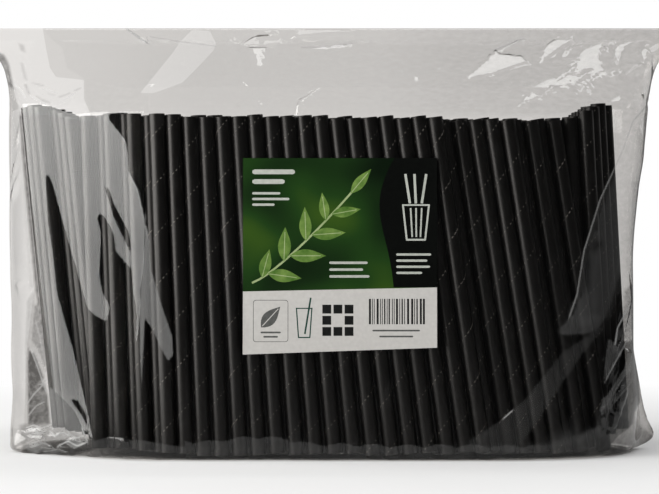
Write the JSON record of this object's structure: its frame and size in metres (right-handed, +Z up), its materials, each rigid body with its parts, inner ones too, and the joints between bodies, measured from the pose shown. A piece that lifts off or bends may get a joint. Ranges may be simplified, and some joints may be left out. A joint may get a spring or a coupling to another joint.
{
  "type": "bag of paper drinking straws",
  "caption": "Clear sealed film bag, standing upright, packed with black wound-paper drinking straws, with a tented film header and a square printed label on its front.",
  "frame": {"origin": "middle of the bag's foot, on the surface that it stands on", "axes": "+Z up along the straws, +X along the width of the bag to the right of the label, -Y out of the front with the label"},
  "size_m": [0.33, 0.1026, 0.196],
  "materials": {
    "film": "clear glossy film",
    "label": "coated printed paper",
    "straws": "satin black wound paper"
  },
  "bodies": {
    "root": {"bag_film": "film", "label": "label", "straws_row_01": "straws", "straws_row_02": "straws", "straws_row_03": "straws", "straws_row_04": "straws", "straws_row_05": "straws", "straws_row_06": "straws", "straws_row_07": "straws", "straws_row_08": "straws", "straws_row_09": "straws", "straws_row_10": "straws", "straws_row_11": "straws", "straws_row_12": "straws", "straws_row_13": "straws", "straws_row_14": "straws", "straws_row_15": "straws", "straws_row_16": "straws"}
  },
  "joints": []
}
